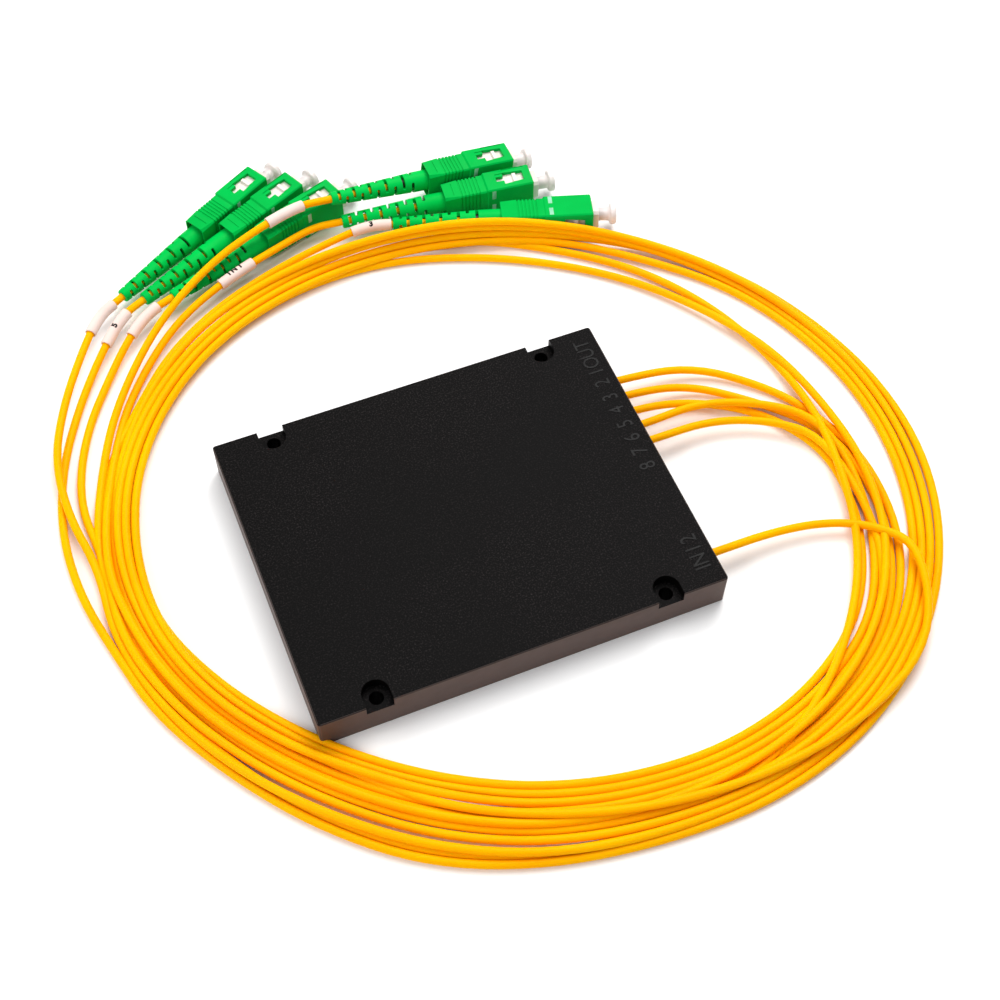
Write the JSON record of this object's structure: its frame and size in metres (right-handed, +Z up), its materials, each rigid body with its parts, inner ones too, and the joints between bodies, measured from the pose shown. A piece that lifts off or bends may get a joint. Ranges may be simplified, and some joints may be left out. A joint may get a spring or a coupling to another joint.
{
  "type": "PLC fibre splitter box with coiled cords and capped square connectors",
  "caption": "Flat black optical splitter box with yellow fibre cords that leave one side, lie in a coil round it and end in green angle-polished square connectors with clear dust caps.",
  "frame": {"origin": "middle of the underside of the flat box, on the surface it lies on", "axes": "+X towards the side the cords leave, along the box length; +Y across the box towards the first output; +Z up out of the box top"},
  "size_m": [0.2067, 0.2214, 0.0131],
  "materials": {
    "box_black": "fine spark-eroded texture",
    "comb_black": "matte",
    "label_white": "satin",
    "cord_yellow": "soft satin PVC",
    "connector_green": "satin",
    "boot_green": "satin",
    "frame_white": "satin",
    "cap_clear": "translucent",
    "ferrule_white": "polished ceramic",
    "steel": "plain",
    "silica": "polished",
    "pad_grey": "matte",
    "fibre_white": "matte",
    "block_grey": "matte"
  },
  "bodies": {
    "box_and_cords": {"adhesive_pads": "pad_grey", "base_cover": "box_black", "boot_in_1": "boot_green", "boot_out_1": "boot_green", "boot_out_2": "boot_green", "boot_out_3": "boot_green", "boot_out_4": "boot_green", "boot_out_5": "boot_green", "cord_coil": "cord_yellow", "cord_comb": "comb_black", "cord_in_1": "cord_yellow", "cord_out_1": "cord_yellow", "cord_out_2": "cord_yellow", "cord_out_3": "cord_yellow", "cord_out_4": "cord_yellow", "cord_out_5": "cord_yellow", "crimp_bodies": "steel", "fanout_block": "block_grey", "ferrule_springs": "steel", "housing": "box_black", "input_fibre_block": "silica", "input_fibre_tube": "fibre_white", "label_sleeve_in_1": "label_white", "label_sleeve_out_1": "label_white", "label_sleeve_out_2": "label_white", "label_sleeve_out_3": "label_white", "label_sleeve_out_4": "label_white", "label_sleeve_out_5": "label_white", "output_fibre_block": "silica", "output_fibre_tubes": "fibre_white", "output_ribbon": "fibre_white", "plug_frame_in_1": "frame_white", "plug_frame_out_1": "frame_white", "plug_frame_out_2": "frame_white", "plug_frame_out_3": "frame_white", "plug_frame_out_4": "frame_white", "plug_frame_out_5": "frame_white", "sleeve_end_plugs": "block_grey", "splitter_sleeve": "steel", "waveguide_chip": "silica"},
    "grip_out_1": {"grip_out_1": "connector_green"},
    "ferrule_out_1": {"ferrule_out_1": "ferrule_white"},
    "dust_cap_out_1": {"dust_cap_out_1": "cap_clear"},
    "grip_out_2": {"grip_out_2": "connector_green"},
    "ferrule_out_2": {"ferrule_out_2": "ferrule_white"},
    "dust_cap_out_2": {"dust_cap_out_2": "cap_clear"},
    "grip_out_3": {"grip_out_3": "connector_green"},
    "ferrule_out_3": {"ferrule_out_3": "ferrule_white"},
    "dust_cap_out_3": {"dust_cap_out_3": "cap_clear"},
    "grip_out_4": {"grip_out_4": "connector_green"},
    "ferrule_out_4": {"ferrule_out_4": "ferrule_white"},
    "dust_cap_out_4": {"dust_cap_out_4": "cap_clear"},
    "grip_out_5": {"grip_out_5": "connector_green"},
    "ferrule_out_5": {"ferrule_out_5": "ferrule_white"},
    "dust_cap_out_5": {"dust_cap_out_5": "cap_clear"},
    "grip_in_1": {"grip_in_1": "connector_green"},
    "ferrule_in_1": {"ferrule_in_1": "ferrule_white"},
    "dust_cap_in_1": {"dust_cap_in_1": "cap_clear"}
  },
  "joints": [
    {"name": "grip_slide_out_1", "type": "slide", "parent": "box_and_cords", "child": "grip_out_1", "axis": [-0.8729, -0.4879, 0], "range_m": [0, 0.0018]},
    {"name": "ferrule_float_out_1", "type": "slide", "parent": "box_and_cords", "child": "ferrule_out_1", "axis": [-0.8729, -0.4879, 0], "range_m": [0, 0.001], "stiffness_N_per_m": 200},
    {"name": "cap_pull_out_1", "type": "slide", "parent": "box_and_cords", "child": "dust_cap_out_1", "axis": [0.8729, 0.4879, 0], "range_m": [0, 0.012]},
    {"name": "grip_slide_out_2", "type": "slide", "parent": "box_and_cords", "child": "grip_out_2", "axis": [-0.9444, -0.3289, 0], "range_m": [0, 0.0018]},
    {"name": "ferrule_float_out_2", "type": "slide", "parent": "box_and_cords", "child": "ferrule_out_2", "axis": [-0.9444, -0.3289, 0], "range_m": [0, 0.001], "stiffness_N_per_m": 200},
    {"name": "cap_pull_out_2", "type": "slide", "parent": "box_and_cords", "child": "dust_cap_out_2", "axis": [0.9444, 0.3289, 0], "range_m": [0, 0.012]},
    {"name": "grip_slide_out_3", "type": "slide", "parent": "box_and_cords", "child": "grip_out_3", "axis": [-0.9511, 0.309, 0], "range_m": [0, 0.0018]},
    {"name": "ferrule_float_out_3", "type": "slide", "parent": "box_and_cords", "child": "ferrule_out_3", "axis": [-0.9511, 0.309, 0], "range_m": [0, 0.001], "stiffness_N_per_m": 200},
    {"name": "cap_pull_out_3", "type": "slide", "parent": "box_and_cords", "child": "dust_cap_out_3", "axis": [0.9511, -0.309, 0], "range_m": [0, 0.012]},
    {"name": "grip_slide_out_4", "type": "slide", "parent": "box_and_cords", "child": "grip_out_4", "axis": [-0.9929, -0.0069, 0.1184], "range_m": [0, 0.0018]},
    {"name": "ferrule_float_out_4", "type": "slide", "parent": "box_and_cords", "child": "ferrule_out_4", "axis": [-0.9929, -0.0069, 0.1184], "range_m": [0, 0.001], "stiffness_N_per_m": 200},
    {"name": "cap_pull_out_4", "type": "slide", "parent": "box_and_cords", "child": "dust_cap_out_4", "axis": [0.9929, 0.0069, -0.1184], "range_m": [0, 0.012]},
    {"name": "grip_slide_out_5", "type": "slide", "parent": "box_and_cords", "child": "grip_out_5", "axis": [-0.9085, -0.4179, 0], "range_m": [0, 0.0018]},
    {"name": "ferrule_float_out_5", "type": "slide", "parent": "box_and_cords", "child": "ferrule_out_5", "axis": [-0.9085, -0.4179, 0], "range_m": [0, 0.001], "stiffness_N_per_m": 200},
    {"name": "cap_pull_out_5", "type": "slide", "parent": "box_and_cords", "child": "dust_cap_out_5", "axis": [0.9085, 0.4179, 0], "range_m": [0, 0.012]},
    {"name": "grip_slide_in_1", "type": "slide", "parent": "box_and_cords", "child": "grip_in_1", "axis": [-0.993, 0.1184, 0], "range_m": [0, 0.0018]},
    {"name": "ferrule_float_in_1", "type": "slide", "parent": "box_and_cords", "child": "ferrule_in_1", "axis": [-0.993, 0.1184, 0], "range_m": [0, 0.001], "stiffness_N_per_m": 200},
    {"name": "cap_pull_in_1", "type": "slide", "parent": "box_and_cords", "child": "dust_cap_in_1", "axis": [0.993, -0.1184, 0], "range_m": [0, 0.012]}
  ]
}
